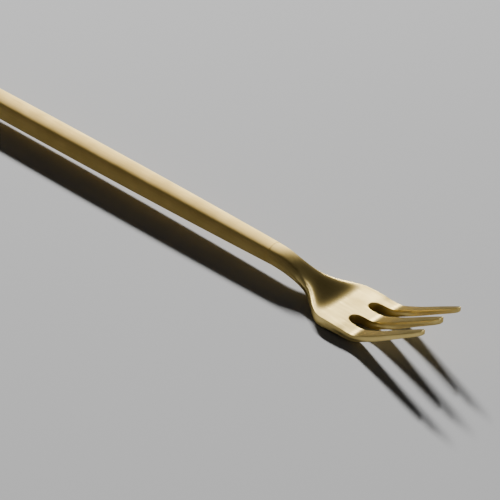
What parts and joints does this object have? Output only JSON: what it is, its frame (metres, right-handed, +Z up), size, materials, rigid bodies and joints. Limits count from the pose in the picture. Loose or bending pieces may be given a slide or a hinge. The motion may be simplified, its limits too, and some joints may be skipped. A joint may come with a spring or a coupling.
{
  "type": "bar spoon",
  "caption": "Long slim bar spoon with a small bowl at one end, a twisted stem, a smooth round handle and a trident fork at the other end.",
  "frame": {"origin": "on the surface that the spoon lies on, under the middle of its length and width", "axes": "+X along the spoon from the bowl towards the fork, +Y across it, +Z up, the way the bowl and the tines face"},
  "size_m": [0.4, 0.0266, 0.0142],
  "materials": {
    "satin_gold_steel": "satin, brushed along the spoon, pale champagne-gold plated stainless steel",
    "braze_filler": "dressed flush and satin, the same pale gold"
  },
  "bodies": {
    "root": {"trident_fork": "satin_gold_steel", "handle": "satin_gold_steel", "twisted_stem": "satin_gold_steel", "bowl": "satin_gold_steel", "fork_braze_ring": "braze_filler", "stem_braze_ring": "braze_filler", "bowl_braze_ring": "braze_filler"}
  },
  "joints": []
}
